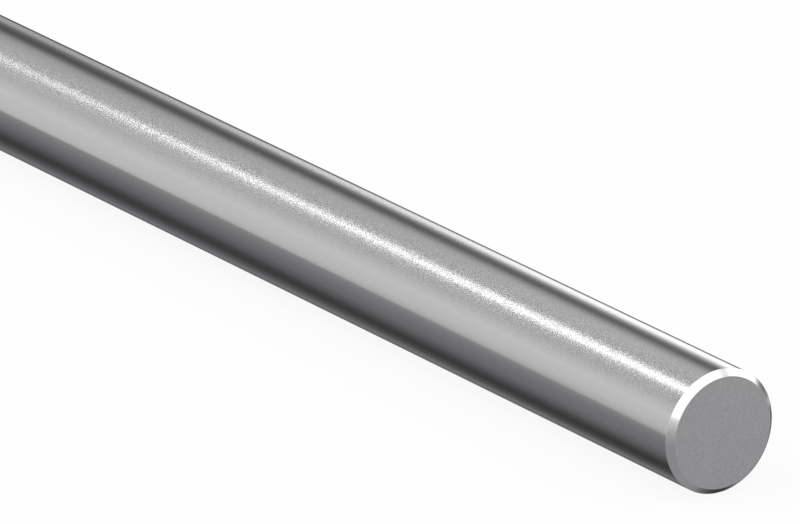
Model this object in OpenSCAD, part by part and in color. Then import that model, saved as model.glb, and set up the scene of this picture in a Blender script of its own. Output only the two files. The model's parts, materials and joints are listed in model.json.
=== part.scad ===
// Linear shaft: one piece of hardened, ground and polished round steel bar,
// cut to length and chamfered at both ends. It lies along X, centred on the origin.

/* [Bar] */
// Diameter of the ground surface, just under its nominal 25.4 so that bearings slide on
shaft_d = 25.38; // [8:0.01:80]
// Length over both end faces
shaft_l = 304.8; // [50:0.1:3000]

/* [Ends] */
// Width of the chamfer, measured across the radius
chamfer_w = 1.3; // [0.2:0.05:3]
// Angle between the chamfer and the shaft's axis
chamfer_angle = 45; // [15:1:60]

/* [Hidden] */
$fn = 128;
steel_colour = [0.66, 0.66, 0.67];
shaft_r = shaft_d / 2;
half_l = shaft_l / 2;
face_r = shaft_r - chamfer_w;
chamfer_l = chamfer_w / tan(chamfer_angle);

// Half section of the bar: radius across, length up the axis.
module half_section() {
    polygon([
        [0, -half_l],
        [face_r, -half_l],
        [shaft_r, -half_l + chamfer_l],
        [shaft_r, half_l - chamfer_l],
        [face_r, half_l],
        [0, half_l]
    ]);
}

module shaft() {
    color(steel_colour)
        rotate([0, 90, 0])
            rotate_extrude()
                half_section();
}

shaft();
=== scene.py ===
# Linear shaft: the looks of a ground and polished round steel bar, lying on a
# pale studio floor. Metres, in the frame of the CAD model: the bar's axis is X.
import json
import math

import bmesh
import bpy
from mathutils import Matrix, Vector


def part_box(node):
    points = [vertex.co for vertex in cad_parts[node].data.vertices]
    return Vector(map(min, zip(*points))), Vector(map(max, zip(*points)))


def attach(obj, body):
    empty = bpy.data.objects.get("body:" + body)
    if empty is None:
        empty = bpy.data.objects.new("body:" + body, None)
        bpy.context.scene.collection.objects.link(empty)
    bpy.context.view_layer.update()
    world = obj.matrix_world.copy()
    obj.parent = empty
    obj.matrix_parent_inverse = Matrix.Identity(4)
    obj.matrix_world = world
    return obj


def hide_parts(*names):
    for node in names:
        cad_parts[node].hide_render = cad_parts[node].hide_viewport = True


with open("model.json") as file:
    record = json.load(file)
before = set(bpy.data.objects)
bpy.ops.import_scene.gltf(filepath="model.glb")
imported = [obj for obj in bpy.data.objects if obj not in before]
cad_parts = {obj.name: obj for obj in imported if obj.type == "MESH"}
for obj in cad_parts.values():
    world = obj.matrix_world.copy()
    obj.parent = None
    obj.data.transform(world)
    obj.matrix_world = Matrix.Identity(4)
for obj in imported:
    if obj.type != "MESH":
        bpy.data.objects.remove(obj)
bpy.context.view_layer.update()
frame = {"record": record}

# The bar, from the CAD model and its record. The CAD mesh is faceted and so a little narrower
# one way than the other, and the round bar keeps inside it.
MM = 0.001
box_low, box_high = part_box("shaft")
HALF_L = (box_high.x - box_low.x) / 2
RADIUS = min(box_high.y - box_low.y, box_high.z - box_low.z) / 2
mounts = {mount["name"]: mount for mount in frame["record"]["mounts"]}
GROUND_L = mounts["bearing_surface"]["dims"]["length_mm"] * MM
CHAMFER_L = HALF_L - GROUND_L / 2
CHAMFER_ANGLE = math.radians(45)
FACE_R = RADIUS - CHAMFER_L * math.tan(CHAMFER_ANGLE)
EDGE_BREAK_R = 0.10 * MM  # rounding left on the chamfer's two edges
FLOOR_Z = -RADIUS

# How finely the mesh is cut
SEGMENTS = 192
SIDE_RINGS = 30
EDGE_STEPS = 3
FACE_RINGS = 5

# The bar's direction, and the middle of the end face that the photograph shows: the near end
AXIS = Vector((1, 0, 0))
NEAR_END = Vector((HALF_L, 0, 0))

# The photograph: its frame, and where the near end face lies in it
PHOTO_W, PHOTO_H = 800, 524
FACE_CENTRE_PX = (722.84, 432.91)
PX_PER_RADIUS = 65.909
FOCAL_PX = 13031.8
VIEW_AZIMUTH = math.radians(55.0945)
VIEW_ELEVATION = math.radians(19.7255)
SENSOR_MM = 36.0
CLIP_NEAR, CLIP_FAR = 0.1, 50


def view_axes():
    """The camera's right, up and back directions."""
    sin_a, cos_a = math.sin(VIEW_AZIMUTH), math.cos(VIEW_AZIMUTH)
    sin_e, cos_e = math.sin(VIEW_ELEVATION), math.cos(VIEW_ELEVATION)
    right = Vector((cos_a, sin_a, 0))
    up = Vector((-sin_a * sin_e, cos_a * sin_e, cos_e))
    back = Vector((sin_a * cos_e, -cos_a * cos_e, sin_e))
    return right, up, back


def add_camera():
    """The photograph's camera: a long lens, aimed so that the near end lies where it does there."""
    right, up, back = view_axes()
    metres_per_px = RADIUS / PX_PER_RADIUS
    distance = FOCAL_PX * metres_per_px
    aside = (FACE_CENTRE_PX[0] - PHOTO_W / 2) * metres_per_px
    below = (FACE_CENTRE_PX[1] - PHOTO_H / 2) * metres_per_px
    data = bpy.data.cameras.new("camera")
    data.lens = FOCAL_PX / PHOTO_W * SENSOR_MM
    data.sensor_width = SENSOR_MM
    data.clip_start = CLIP_NEAR
    data.clip_end = CLIP_FAR
    camera = bpy.data.objects.new("camera", data)
    place = NEAR_END - right * aside + up * below + back * distance
    turn = Matrix((right, up, back)).transposed().to_4x4()
    camera.matrix_world = Matrix.Translation(place) @ turn
    bpy.context.scene.collection.objects.link(camera)
    bpy.context.scene.camera = camera


# Meshes

# The bar's materials, in the order of its material slots
SIDE, CHAMFER, FACE = 0, 1, 2


def new_object(name, bm, materials):
    """An object from a bmesh, linked to the scene."""
    mesh = bpy.data.meshes.new(name)
    bm.to_mesh(mesh)
    bm.free()
    for material in materials:
        mesh.materials.append(material)
    obj = bpy.data.objects.new(name, mesh)
    bpy.context.scene.collection.objects.link(obj)
    return obj


def edge_arc(corner, angle_from, angle_to):
    """Rings round one broken edge, each as (x, radius, normal angle).

    The normal angle is 0 on the ground side and 90 degrees on the end face. The corner is
    where the two flats would meet, and the arc touches both flats.
    """
    half_turn = (angle_to - angle_from) / 2
    middle = angle_from + half_turn
    to_centre = EDGE_BREAK_R / math.cos(half_turn)
    centre_x = corner[0] - to_centre * math.sin(middle)
    centre_r = corner[1] - to_centre * math.cos(middle)
    rings = []
    for step in range(EDGE_STEPS + 1):
        angle = angle_from + (angle_to - angle_from) * step / EDGE_STEPS
        x = centre_x + EDGE_BREAK_R * math.sin(angle)
        r = centre_r + EDGE_BREAK_R * math.cos(angle)
        rings.append((x, r, angle))
    return rings


def end_rings():
    """Rings of the right end, from the ground side inwards over the face."""
    rings = edge_arc((HALF_L - CHAMFER_L, RADIUS), 0, CHAMFER_ANGLE)
    rings += edge_arc((HALF_L, FACE_R), CHAMFER_ANGLE, math.pi / 2)
    rim_r = rings[-1][1]
    for step in range(1, FACE_RINGS):
        rings.append((HALF_L, rim_r * (1 - step / FACE_RINGS), math.pi / 2))
    return rings


def bar_rings():
    """All rings of the bar, from its left end to its right."""
    right = end_rings()
    left = [(-x, r, -angle) for x, r, angle in reversed(right)]
    side_end = right[0][0]
    side = []
    for step in range(1, SIDE_RINGS):
        side.append((-side_end + 2 * side_end * step / SIDE_RINGS, RADIUS, 0.0))
    return left + side + right


def band_material(ring, after):
    """The material of the band between two rings."""
    if ring[2] == 0.0 and after[2] == 0.0:
        return SIDE
    if math.isclose(ring[0], after[0]):
        return FACE
    return CHAMFER


def build_bar(materials):
    """The whole bar as one closed mesh, with exact normals on its flats and broken edges."""
    bm = bmesh.new()
    normals = []
    loops = []
    rings = bar_rings()
    for x, r, angle in rings:
        loop = []
        for i in range(SEGMENTS):
            turn = 2 * math.pi * i / SEGMENTS
            outward = Vector((0, math.cos(turn), math.sin(turn)))
            loop.append(bm.verts.new(AXIS * x + outward * r))
            normals.append(outward * math.cos(angle) + AXIS * math.sin(angle))
        loops.append(loop)
    for k in range(len(rings) - 1):
        material = band_material(rings[k], rings[k + 1])
        for i in range(SEGMENTS):
            j = (i + 1) % SEGMENTS
            quad = (loops[k][i], loops[k + 1][i], loops[k + 1][j], loops[k][j])
            bm.faces.new(quad).material_index = material
    for loop, side in ((loops[0], -1), (loops[-1], 1)):
        middle = bm.verts.new((side * HALF_L, 0, 0))
        normals.append(AXIS * side)
        for i in range(SEGMENTS):
            bm.faces.new((loop[i], loop[(i + 1) % SEGMENTS], middle)).material_index = FACE
    bmesh.ops.recalc_face_normals(bm, faces=bm.faces[:])
    for face in bm.faces:
        face.smooth = True
    bar = new_object("ground_bar", bm, materials)
    bar.data.normals_split_custom_set_from_vertices([tuple(n) for n in normals])
    return bar


# Materials

# Below, scales of patterns are in features a metre and depths of bumps in metres.
# The stretch in which most values of a noise pattern lie, and its middle
NOISE_LOW, NOISE_HIGH = 0.3, 0.7
NOISE_MIDDLE = 0.5

# The ground side: the facets of its grain tip to and fro along one slanting direction
SIDE_DARK, SIDE_LIGHT = (0.60, 0.60, 0.603, 1), (0.72, 0.72, 0.72, 1)
SIDE_SMOOTH, SIDE_ROUGH = 0.09, 0.11
CLOUD_SCALE = 60
FACET_SCALES = (2600, 4500, 4500)
FACET_TIP = (0.235, 0.242, -0.152)

# The chamfers: tool lines that are close together along X and long round the cone
CHAMFER_DARK, CHAMFER_LIGHT = (0.84, 0.84, 0.84, 1), (0.90, 0.90, 0.90, 1)
CHAMFER_SMOOTH, CHAMFER_ROUGH = 0.16, 0.20
TOOL_LINE_SCALES = (9000, 200, 200)
TOOL_LINE_DEPTH = 0.5e-6
CHAMFER_GRAIN_SCALE = 2600

# The end faces: turned rings, a grain and a fine mottle
FACE_DARK, FACE_LIGHT = (0.55, 0.55, 0.557, 1), (0.72, 0.72, 0.728, 1)
FACE_SMOOTH, FACE_ROUGH = 0.25, 0.31
RING_SCALE = 700
RING_WANDER = 1.5
RING_DEPTH = 0.4e-6
FACE_GRAIN_SCALE = 2200
FACE_GRAIN_DEPTH = 1.2e-6
MOTTLE_SCALE = 1800


class Nodes:
    """A material and its node tree, with short calls for adding and joining nodes."""

    def __init__(self, name):
        self.material = bpy.data.materials.new(name)
        self.material.use_nodes = True
        self.tree = self.material.node_tree
        self.tree.nodes.clear()

    def add(self, kind, **values):
        """A new node, with settings of its own."""
        node = self.tree.nodes.new(kind)
        for key, value in values.items():
            setattr(node, key, value)
        return node

    def join(self, source, target):
        """A link from an output to an input."""
        self.tree.links.new(source, target)

    def finish(self, shader):
        """Makes a shader the surface of the material, which it hands back."""
        output = self.add("ShaderNodeOutputMaterial")
        self.join(shader, output.inputs["Surface"])
        return self.material

    def place(self):
        """The place on the piece, in metres in its own axes."""
        return self.add("ShaderNodeTexCoord").outputs["Object"]

    def stretched(self, vector, scales):
        """A place scaled by its own factor along each axis."""
        node = self.add("ShaderNodeMapping")
        node.inputs["Scale"].default_value = scales
        self.join(vector, node.inputs["Vector"])
        return node.outputs["Vector"]

    def noise(self, vector, scale=1.0, detail=2.0):
        """A noise pattern, finer with a larger scale and busier with more detail."""
        node = self.add("ShaderNodeTexNoise")
        node.inputs["Scale"].default_value = scale
        node.inputs["Detail"].default_value = detail
        self.join(vector, node.inputs["Vector"])
        return node.outputs["Fac"]

    def spread(self, noise, low, high):
        """A value that runs from low to high with a noise pattern."""
        node = self.add("ShaderNodeMapRange")
        node.inputs["From Min"].default_value = NOISE_LOW
        node.inputs["From Max"].default_value = NOISE_HIGH
        node.inputs["To Min"].default_value = low
        node.inputs["To Max"].default_value = high
        self.join(noise, node.inputs["Value"])
        return node.outputs["Result"]

    def mix_colour(self, share, first, second):
        """A colour between two others, by a pattern."""
        node = self.add("ShaderNodeMix", data_type="RGBA")
        node.inputs["A"].default_value = first
        node.inputs["B"].default_value = second
        self.join(share, node.inputs["Factor"])
        return node.outputs["Result"]

    def bump(self, height, depth, normal=None):
        """A normal bumped by a pattern, on top of another normal if there is one."""
        node = self.add("ShaderNodeBump")
        node.inputs["Distance"].default_value = depth
        self.join(height, node.inputs["Height"])
        if normal is not None:
            self.join(normal, node.inputs["Normal"])
        return node.outputs["Normal"]

    def tilt(self, noise, along):
        """The surface's normal, tipped to and fro along one direction by a noise pattern."""
        centred = self.add("ShaderNodeMath", operation="SUBTRACT")
        centred.inputs[1].default_value = NOISE_MIDDLE
        self.join(noise, centred.inputs[0])
        tipped = self.add("ShaderNodeVectorMath", operation="MULTIPLY_ADD")
        tipped.inputs[1].default_value = along
        self.join(centred.outputs["Value"], tipped.inputs[0])
        self.join(self.add("ShaderNodeNewGeometry").outputs["Normal"], tipped.inputs[2])
        unit = self.add("ShaderNodeVectorMath", operation="NORMALIZE")
        self.join(tipped.outputs["Vector"], unit.inputs[0])
        return unit.outputs["Vector"]

    def metal(self, colour, roughness, normal):
        """The finished material: bare metal with a colour, roughness and normal."""
        shader = self.add("ShaderNodeBsdfPrincipled")
        shader.inputs["Metallic"].default_value = 1.0
        self.join(colour, shader.inputs["Base Color"])
        self.join(roughness, shader.inputs["Roughness"])
        self.join(normal, shader.inputs["Normal"])
        return self.finish(shader.outputs["BSDF"])


def ground_side():
    """Centreless ground and polished: a satin grain of fine facets, a little mottled."""
    nodes = Nodes("ground_side")
    place = nodes.place()
    clouds = nodes.noise(place, CLOUD_SCALE, detail=3.0)
    facets = nodes.noise(nodes.stretched(place, FACET_SCALES), detail=1.0)
    colour = nodes.mix_colour(facets, SIDE_DARK, SIDE_LIGHT)
    roughness = nodes.spread(clouds, SIDE_SMOOTH, SIDE_ROUGH)
    return nodes.metal(colour, roughness, nodes.tilt(facets, FACET_TIP))


def turned_chamfer():
    """Turned bright, with fine tool lines round the cone."""
    nodes = Nodes("turned_chamfer")
    place = nodes.place()
    lines = nodes.noise(nodes.stretched(place, TOOL_LINE_SCALES))
    grain = nodes.noise(place, CHAMFER_GRAIN_SCALE, detail=1.5)
    colour = nodes.mix_colour(grain, CHAMFER_DARK, CHAMFER_LIGHT)
    roughness = nodes.spread(grain, CHAMFER_SMOOTH, CHAMFER_ROUGH)
    return nodes.metal(colour, roughness, nodes.bump(lines, TOOL_LINE_DEPTH))


def faced_end():
    """Faced in a lathe: a matt grey disc with faint rings and a fine grain."""
    nodes = Nodes("faced_end")
    place = nodes.place()
    rings = nodes.add("ShaderNodeTexWave", wave_type="RINGS", rings_direction="X")
    rings.inputs["Scale"].default_value = RING_SCALE
    rings.inputs["Distortion"].default_value = RING_WANDER
    nodes.join(place, rings.inputs["Vector"])
    grain = nodes.noise(place, FACE_GRAIN_SCALE)
    mottle = nodes.noise(place, MOTTLE_SCALE, detail=1.0)
    colour = nodes.mix_colour(mottle, FACE_DARK, FACE_LIGHT)
    roughness = nodes.spread(grain, FACE_SMOOTH, FACE_ROUGH)
    normal = nodes.bump(rings.outputs["Fac"], RING_DEPTH)
    normal = nodes.bump(grain, FACE_GRAIN_DEPTH, normal)
    return nodes.metal(colour, roughness, normal)


# Cards: the studio as the metal reflects it

# The light of a card is stored at its points under this name
CARD_LIGHT = "light"
CARD_GAP = 0.00005  # between the floor and the card that lies on it


def mix(first, second, share):
    """A value between two others."""
    return first + (second - first) * share


def smooth_step(start, end, at):
    """0 at the start, 1 at the end and a soft rise between. The end may be below the start."""
    share = min(1.0, max(0.0, (at - start) / (end - start)))
    return share * share * (3 - 2 * share)


def between(stops, at):
    """The levels at a place between stops, each stop being (place, level, ...)."""
    if at <= stops[0][0]:
        return stops[0][1:]
    for first, second in zip(stops, stops[1:]):
        if at <= second[0]:
            share = (at - first[0]) / (second[0] - first[0])
            return tuple(mix(a, b, share) for a, b in zip(first[1:], second[1:]))
    return stops[-1][1:]


def grey(level):
    """A neutral light of one level."""
    return (level, level, level)


def card_material():
    """A card that glows in the light stored in its mesh."""
    nodes = Nodes("card")
    light = nodes.add("ShaderNodeAttribute", attribute_name=CARD_LIGHT)
    glow = nodes.add("ShaderNodeEmission")
    nodes.join(light.outputs["Color"], glow.inputs["Color"])
    nodes.material.cycles.emission_sampling = "NONE"
    return nodes.finish(glow.outputs["Emission"])


def add_card(name, rows, material):
    """A card from rows of (place, light). Only metal sees it: it throws no light or shadow."""
    bm = bmesh.new()
    lights = []
    grid = []
    for row in rows:
        grid.append([bm.verts.new(place) for place, _ in row])
        for _, light in row:
            lights += [*light, 1.0]
    for row, after in zip(grid, grid[1:]):
        for i in range(len(row) - 1):
            bm.faces.new((row[i], row[i + 1], after[i + 1], after[i]))
    card = new_object(name, bm, [material])
    attribute = card.data.attributes.new(CARD_LIGHT, "FLOAT_COLOR", "POINT")
    attribute.data.foreach_set("color", lights)
    card.visible_camera = False
    card.visible_diffuse = False
    card.visible_transmission = False
    card.visible_volume_scatter = False
    card.visible_shadow = False


# The tent: an arch of light over the bar and along it

TENT_R = 0.60
TENT_HALF_L = 2.4
# The tent's edges and its steps between them, in degrees from straight up
TENT_EDGE = 92
TENT_STEP = 4

# Light by angle over the bar: 0 is straight up, plus is towards the front. Each stop gives
# degrees, two levels and two swings. The first of each pair is for the part of the tent that
# the bar's far end mirrors to the camera, and the second for the part that its near end does.
# A swing is the share by which the row of lamps lifts and lowers the level.
TENT_STOPS = [
    (-92, 0.40, 1.39, 0.0, 0.0),
    (-82, 0.44, 1.42, 0.0, 0.0),
    (-76, 0.45, 1.22, 0.0, 0.0),
    (-70, 0.315, 0.835, 0.0, 0.0),
    (-65, 0.205, 0.465, 0.0, 0.0),
    (-56, 0.125, 0.183, 0.0, 0.0),
    (-48, 0.11, 0.168, 0.0, 0.0),
    (-41, 0.195, 0.315, 0.0, 0.0),
    (-34, 0.36, 0.475, 0.0, 0.0),
    (-28, 0.46, 0.57, 0.1, 0.1),
    (-20, 0.51, 0.60, 0.2, 0.25),
    (-10, 0.565, 0.60, 0.3, 0.38),
    (-4, 0.58, 0.58, 0.45, 0.52),
    (1, 0.60, 0.605, 0.6, 0.6),
    (5, 0.62, 0.695, 0.85, 0.85),
    (8, 0.71, 0.83, 0.85, 0.85),
    (11, 0.86, 1.19, 0.88, 0.75),
    (13.5, 0.92, 1.48, 0.88, 0.66),
    (16.5, 1.03, 1.64, 0.88, 0.45),
    (19.5, 0.91, 1.73, 0.88, 0.38),
    (22, 0.82, 1.59, 0.88, 0.54),
    (24.5, 0.745, 1.24, 0.85, 0.78),
    (27, 0.69, 0.92, 0.80, 0.85),
    (30, 0.67, 0.75, 0.68, 0.82),
    (35, 0.645, 0.62, 0.42, 0.68),
    (45, 0.625, 0.58, 0.26, 0.38),
    (58, 0.71, 0.69, 0.14, 0.14),
    (70, 0.78, 0.78, 0.0, 0.0),
    (92, 0.735, 0.70, 0.0, 0.0),
]
# The stretches of the tent over which far levels and far swings give way to near ones. The
# bend, being above 1, makes the levels change a little later.
LEVEL_X = (-0.87, -0.55)
LEVEL_BEND = 1.25
SWING_X = (-0.67, -0.585)
# The row of lamps: their spacing, the steps that each is cut into, how narrow each is, and
# where the row fades in. It stands only over the left part, which the photograph's view
# mirrors, so that the bar shines evenly from the front, the back and above.
LAMP_GAP = 0.14
LAMP_STEPS = 8
LAMP_SHARPNESS = 3
LAMPS_X = (-0.17, -0.29)
# Past the near end the tent is plain behind the bar and in front of it: the stretches of X and
# of degrees over which that is reached, and the levels. The one in front is high at first and
# falls, from some degrees on, to a low one at the tent's edge.
PLAIN_X = (0.3, 0.45)
PLAIN_BEHIND = (-20, -40)
PLAIN_FRONT = (60, 75)
BEHIND_LEVEL = 0.46
FRONT_HIGH, FRONT_LOW = 0.68, 0.46
FRONT_FALL_FROM = 74


def lamp_wave(step):
    """The light of the row of lamps at one step along it, as a share above or below its mean."""
    glows = []
    for k in range(LAMP_STEPS):
        glows.append(((1 + math.cos(2 * math.pi * k / LAMP_STEPS)) / 2) ** LAMP_SHARPNESS)
    return glows[step % LAMP_STEPS] * LAMP_STEPS / sum(glows) - 1


def tent_level(x, degree, wave):
    """How bright the tent is at a place along it and an angle over the bar."""
    far, near, far_swing, near_swing = between(TENT_STOPS, degree)
    nearness = smooth_step(*LEVEL_X, x) ** LEVEL_BEND
    swing = mix(far_swing, near_swing, smooth_step(*SWING_X, x))
    level = mix(far, near, nearness) * (1 + swing * wave)
    plainness = smooth_step(*PLAIN_X, x)
    level = mix(level, BEHIND_LEVEL, plainness * smooth_step(*PLAIN_BEHIND, degree))
    fall = max(0, (degree - FRONT_FALL_FROM) / (TENT_EDGE - FRONT_FALL_FROM))
    front_level = mix(FRONT_HIGH, FRONT_LOW, fall)
    return mix(level, front_level, plainness * smooth_step(*PLAIN_FRONT, degree))


def add_tent(material):
    """A long arched tent over the bar, with its panels and black flags as bands of light."""
    degrees = set(range(-TENT_EDGE, TENT_EDGE + 1, TENT_STEP))
    degrees = sorted(degrees.union(stop[0] for stop in TENT_STOPS))
    count = round(TENT_HALF_L / LAMP_GAP) * LAMP_STEPS
    rows = []
    for k in range(-count, count + 1):
        x = k * LAMP_GAP / LAMP_STEPS
        wave = lamp_wave(k) * smooth_step(*LAMPS_X, x)
        row = []
        for degree in degrees:
            turn = math.radians(degree)
            place = (x, -TENT_R * math.sin(turn), TENT_R * math.cos(turn))
            row.append((place, grey(tent_level(x, degree, wave))))
        rows.append(row)
    add_card("light_tent", rows, material)


# The floor card: the floor as the metal sees it, with the bar's shadow on it painted into its glow

# Lines of the card's grid in radii, to each side of the axis and outwards from the bar's ends
AXIS_LINES = [0, 0.15, 0.3, 0.45, 0.6, 0.7, 0.8, 0.9, 1.0, 1.1, 1.2, 1.35, 1.45, 1.6, 1.8, 2.1]
AXIS_LINES += [2.4, 2.8, 3.4, 3.9, 4.5, 4.85, 5.3, 6, 7, 8, 9.5, 11, 13, 15, 18, 22, 30]
END_LINES = [-4, -3.2, -2.8, -2.4, -2, -1, -0.6, -0.5, -0.4, -0.3, -0.2, -0.1, -0.05, 0, 0.08]
END_LINES += [0.15, 0.3, 0.5, 0.7, 1, 1.5, 2, 3, 4, 5, 6.5, 8, 9.5, 11, 14, 18, 25]

# Light beside the bar by distance from the axis in radii, plus being behind: the low levels near
# the axis are painted shadow of the bar. Each stop gives the level towards the far end and the
# level towards the near end.
BESIDE_STOPS = [
    (-50.0, 0.74, 0.70),
    (-16.0, 0.735, 0.68),
    (-8.0, 0.70, 0.63),
    (-5.3, 0.66, 0.545),
    (-4.5, 0.335, 0.335),
    (-3.4, 0.297, 0.292),
    (-2.4, 0.24, 0.245),
    (-1.8, 0.182, 0.22),
    (-1.45, 0.12, 0.165),
    (-1.2, 0.066, 0.092),
    (-1.0, 0.068, 0.052),
    (-0.8, 0.13, 0.09),
    (-0.6, 0.215, 0.215),
    (-0.3, 0.10, 0.10),
    (0.3, 0.10, 0.10),
    (0.6, 0.20, 0.20),
    (1.0, 0.06, 0.06),
    (3.5, 0.08, 0.10),
    (7.0, 0.10, 0.16),
    (11.0, 0.09, 0.28),
    (15.0, 0.16, 1.10),
    (50.0, 0.33, 1.38),
]
# Light beyond the bar's ends by distance from the end's middle in radii: the low levels close to
# the end are painted shadow of the bar. Each stop gives the level in front of the axis and the
# level behind it.
BEYOND_STOPS = [
    (0.0, 0.035, 0.30),
    (0.2, 0.065, 0.40),
    (0.3, 0.125, 0.42),
    (0.45, 0.258, 0.43),
    (0.6, 0.285, 0.435),
    (0.85, 0.30, 0.435),
    (1.1, 0.28, 0.44),
    (2.7, 0.28, 0.44),
    (3.7, 0.297, 0.445),
    (5.0, 0.335, 0.45),
    (7.7, 0.37, 0.455),
    (12.0, 0.39, 0.46),
    (25.0, 0.45, 0.46),
]
# The stretch of the bar over which the far levels give way to the near ones, for places on
# the axis, and how far it shifts for each unit across, because the bar mirrors at a slant
FLOOR_X = (-HALF_L / 2, HALF_L)
MIRROR_SLANT = 1.2
# Stretches over which one level gives way to another, in radii. Across is from the axis, plus
# being behind, and past is from the bar's end, plus being beyond it.
BEHIND_ACROSS = (-0.6, -0.3)  # from the level in front to the one behind
BEHIND_PAST = (0.0, 0.15)
BEYOND_PAST = (-0.45, -0.05)  # from the level beside the bar to the one beyond its end
FAR_END_ACROSS = (3, 5)  # how far to the sides the far end's own level reaches
# A plain patch behind the near end, which the chamfer mirrors at its right edge: its level,
# where it starts along the bar, and where it starts and stops across
PATCH_LEVEL = 0.49
PATCH_PAST = (-3.2, -2.4)
PATCH_START_ACROSS = (4.3, 5.3)
PATCH_STOP_ACROSS = (7.3, 9.0)
# Near the bar the floor card's painted shadow is a little cooler: its tint, and where that fades,
# in radii
FLOOR_TINT = (0.977, 0.975, 1.02)
TINT_FADE = (3.0, 5.0)


def patch_share(across, past):
    """How much of the floor's level is the plain patch's at a place by the near end."""
    along = smooth_step(*PATCH_PAST, past) * (1 - smooth_step(*BEYOND_PAST, past))
    started = smooth_step(*PATCH_START_ACROSS, across)
    return along * started * (1 - smooth_step(*PATCH_STOP_ACROSS, across))


def floor_and_shadow_level(x, y):
    """How bright the metal sees the floor at a place, the bar's painted shadow included."""
    across = y / RADIUS
    past = (abs(x) - HALF_L) / RADIUS
    nearness = smooth_step(*FLOOR_X, x + MIRROR_SLANT * abs(y))
    beside = mix(*between(BESIDE_STOPS, across), nearness)
    from_end = math.hypot(abs(x) - HALF_L, y) / RADIUS
    behindness = smooth_step(*BEHIND_ACROSS, across) * smooth_step(*BEHIND_PAST, past)
    beyond = mix(*between(BEYOND_STOPS, from_end), behindness)
    share = smooth_step(*BEYOND_PAST, past)
    if x < 0:
        share *= 1 - smooth_step(*FAR_END_ACROSS, abs(across))
        return mix(beside, beyond, share)
    return mix(mix(beside, beyond, share), PATCH_LEVEL, patch_share(across, past))


def floor_light(x, y):
    """The colour and strength of the floor at a place, as the metal sees it, painted shadow
    included.
    """
    level = floor_and_shadow_level(x, y)
    distance = math.hypot(max(0.0, abs(x) - HALF_L), y) / RADIUS
    fade = smooth_step(*TINT_FADE, distance)
    return tuple(level * mix(tint, 1, fade) for tint in FLOOR_TINT)


def both_sides(values):
    """Values that start at 0, with their mirror image before them."""
    return [-value for value in reversed(values[1:])] + values


def add_floor_shadow_card(material):
    """The floor as the metal sees it: painted dark beside the bar as its shadow, and a plain grey
    beyond its ends.
    """
    lines = both_sides(AXIS_LINES + [TENT_R / RADIUS])
    ends = [0, HALF_L / 4, HALF_L / 2] + [HALF_L + line * RADIUS for line in END_LINES]
    rows = []
    for x in both_sides(ends + [TENT_HALF_L]):
        row = []
        for line in lines:
            y = line * RADIUS
            row.append(((x, y, FLOOR_Z + CARD_GAP), floor_light(x, y)))
        rows.append(row)
    add_card("floor_shadow_card", rows, material)


# Two small cards that the near chamfer mirrors

# The low flag: its level by height over the axis, its place behind the axis, and where it
# starts and stops along the bar, measured from the near end, all in radii
FLAG_STOPS = [
    (-1.0, 0.20),
    (-0.2, 0.17),
    (0.3, 0.17),
    (0.8, 0.20),
    (1.2, 0.36),
    (1.7, 0.70),
    (2.1, 1.05),
]
FLAG_ACROSS = 11.5
FLAG_PAST = (-7.5, -0.4)
# The arch over the near end: its run by degrees round the bar, its steps, its distance from
# the chamfer, its half width and its level, with one place where it is dimmer
ARCH_FROM, ARCH_TO = -45.5, 65.0
ARCH_STEPS = 78
ARCH_R = 0.45
ARCH_HALF_W = 0.10
ARCH_LEVEL = 1.35
ARCH_DIM_AT = -4.0
ARCH_DIM_REACH = 7.5
ARCH_DIM_LEVEL = 0.78


def add_low_flag(material):
    """A low grey card behind the near end, which the chamfer mirrors beside the arch."""
    y = FLAG_ACROSS * RADIUS
    rows = []
    for past in FLAG_PAST:
        x = HALF_L + past * RADIUS
        rows.append([((x, y, height * RADIUS), grey(level)) for height, level in FLAG_STOPS])
    add_card("low_flag", rows, material)


def add_end_arch(material):
    """A strip light arched over the near end, where the chamfer mirrors it to the camera."""
    back = view_axes()[2]
    middles = []
    levels = []
    for k in range(ARCH_STEPS + 1):
        degree = ARCH_FROM + (ARCH_TO - ARCH_FROM) * k / ARCH_STEPS
        dimness = 1 - smooth_step(0, ARCH_DIM_REACH, abs(degree - ARCH_DIM_AT))
        levels.append(grey(mix(ARCH_LEVEL, ARCH_DIM_LEVEL, dimness)))
        turn = math.radians(degree)
        outward = Vector((0, -math.sin(turn), math.cos(turn)))
        normal = (outward + AXIS).normalized()
        mirrored = 2 * normal.dot(back) * normal - back
        middles.append(NEAR_END + outward * RADIUS + mirrored * ARCH_R)
    rows = []
    for k, middle in enumerate(middles):
        along = middles[min(k + 1, ARCH_STEPS)] - middles[max(k - 1, 0)]
        aside = along.cross(middle - NEAR_END).normalized() * ARCH_HALF_W
        rows.append([(middle - aside, levels[k]), (middle + aside, levels[k])])
    add_card("end_arch", rows, material)


# Floor, world and lamps

FLOOR_HALF = 20.0
FLOOR_PAINT = (0.9, 0.9, 0.9, 1)
# The share of the floor that is white by itself where it is seen. The rest takes the shadow.
FLOOR_GLOW = 0.92
# The world's strength where it is seen, and as the light that fills the floor
WORLD_SEEN = 1.0
WORLD_FILL = 0.55
# The softboxes, in metres and watts
SOFTBOX_SIZE = 1.4
KEY_PLACE, KEY_WATTS = (-0.6, -0.8, 1.6), 17.0
FILL_PLACE, FILL_WATTS = (0.9, 1.0, 1.5), 8.5


def seen_as_background(nodes):
    """1 for what the camera sees straight or in metal or glass, otherwise 0."""
    path = nodes.add("ShaderNodeLightPath")
    first = nodes.add("ShaderNodeMath", operation="MAXIMUM")
    nodes.join(path.outputs["Is Camera Ray"], first.inputs[0])
    nodes.join(path.outputs["Is Glossy Ray"], first.inputs[1])
    second = nodes.add("ShaderNodeMath", operation="MAXIMUM")
    nodes.join(first.outputs["Value"], second.inputs[0])
    nodes.join(path.outputs["Is Transmission Ray"], second.inputs[1])
    return second.outputs["Value"]


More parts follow.
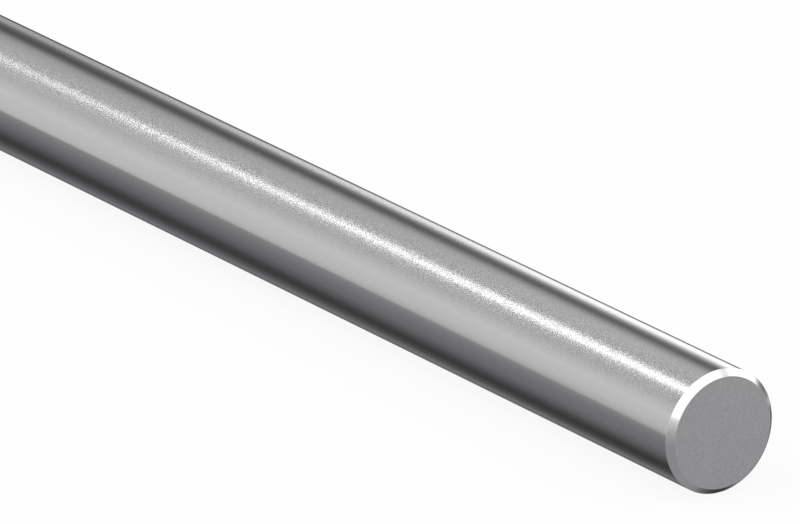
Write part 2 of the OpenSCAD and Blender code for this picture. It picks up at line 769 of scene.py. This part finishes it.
def add_floor():
    """A white floor that keeps the bar's soft shadow."""
    nodes = Nodes("white_floor")
    paint = nodes.add("ShaderNodeBsdfDiffuse")
    paint.inputs["Color"].default_value = FLOOR_PAINT
    glow = nodes.add("ShaderNodeEmission")
    share = nodes.add("ShaderNodeMath", operation="MULTIPLY")
    share.inputs[1].default_value = FLOOR_GLOW
    nodes.join(seen_as_background(nodes), share.inputs[0])
    both = nodes.add("ShaderNodeMixShader")
    nodes.join(share.outputs["Value"], both.inputs["Fac"])
    nodes.join(paint.outputs["BSDF"], both.inputs[1])
    nodes.join(glow.outputs["Emission"], both.inputs[2])
    nodes.finish(both.outputs["Shader"])
    nodes.material.cycles.emission_sampling = "NONE"
    bm = bmesh.new()
    corners = [(-1, -1), (1, -1), (1, 1), (-1, 1)]
    bm.faces.new([bm.verts.new((x * FLOOR_HALF, y * FLOOR_HALF, FLOOR_Z)) for x, y in corners])
    new_object("floor", bm, [nodes.material])


def add_world():
    """White where it is seen, and a soft fill for the floor."""
    world = bpy.data.worlds.new("studio")
    world.use_nodes = True
    tree = world.node_tree
    tree.nodes.clear()
    path = tree.nodes.new("ShaderNodeLightPath")
    strength = tree.nodes.new("ShaderNodeMapRange")
    strength.inputs["To Min"].default_value = WORLD_SEEN
    strength.inputs["To Max"].default_value = WORLD_FILL
    tree.links.new(path.outputs["Is Diffuse Ray"], strength.inputs["Value"])
    background = tree.nodes.new("ShaderNodeBackground")
    background.inputs["Color"].default_value = (1, 1, 1, 1)
    tree.links.new(strength.outputs["Result"], background.inputs["Strength"])
    output = tree.nodes.new("ShaderNodeOutputWorld")
    tree.links.new(background.outputs["Background"], output.inputs["Surface"])
    world.cycles.sampling_method = "NONE"
    bpy.context.scene.world = world


def add_softbox(name, place, watts):
    """A square lamp aimed at the bar. It lights the floor, and the metal has its own cards."""
    data = bpy.data.lights.new(name, "AREA")
    data.size = SOFTBOX_SIZE
    data.energy = watts
    lamp = bpy.data.objects.new(name, data)
    lamp.location = place
    lamp.rotation_euler = Vector(place).to_track_quat("Z", "Y").to_euler()
    lamp.visible_camera = False
    lamp.visible_glossy = False
    bpy.context.scene.collection.objects.link(lamp)


def add_studio():
    """The cards that the metal mirrors, and the floor with its light."""
    card = card_material()
    add_tent(card)
    add_end_arch(card)
    add_low_flag(card)
    add_floor_shadow_card(card)
    add_floor()
    add_world()
    add_softbox("key_softbox", KEY_PLACE, KEY_WATTS)
    add_softbox("fill_softbox", FILL_PLACE, FILL_WATTS)


add_camera()
bar = build_bar([ground_side(), turned_chamfer(), faced_end()])
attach(bar, "root")
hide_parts("shaft")
add_studio()

bpy.context.scene.view_settings.view_transform = "Standard"
# The ground grain is about as fine as a pixel, and the denoiser would wipe it out
bpy.context.scene.cycles.use_denoising = False
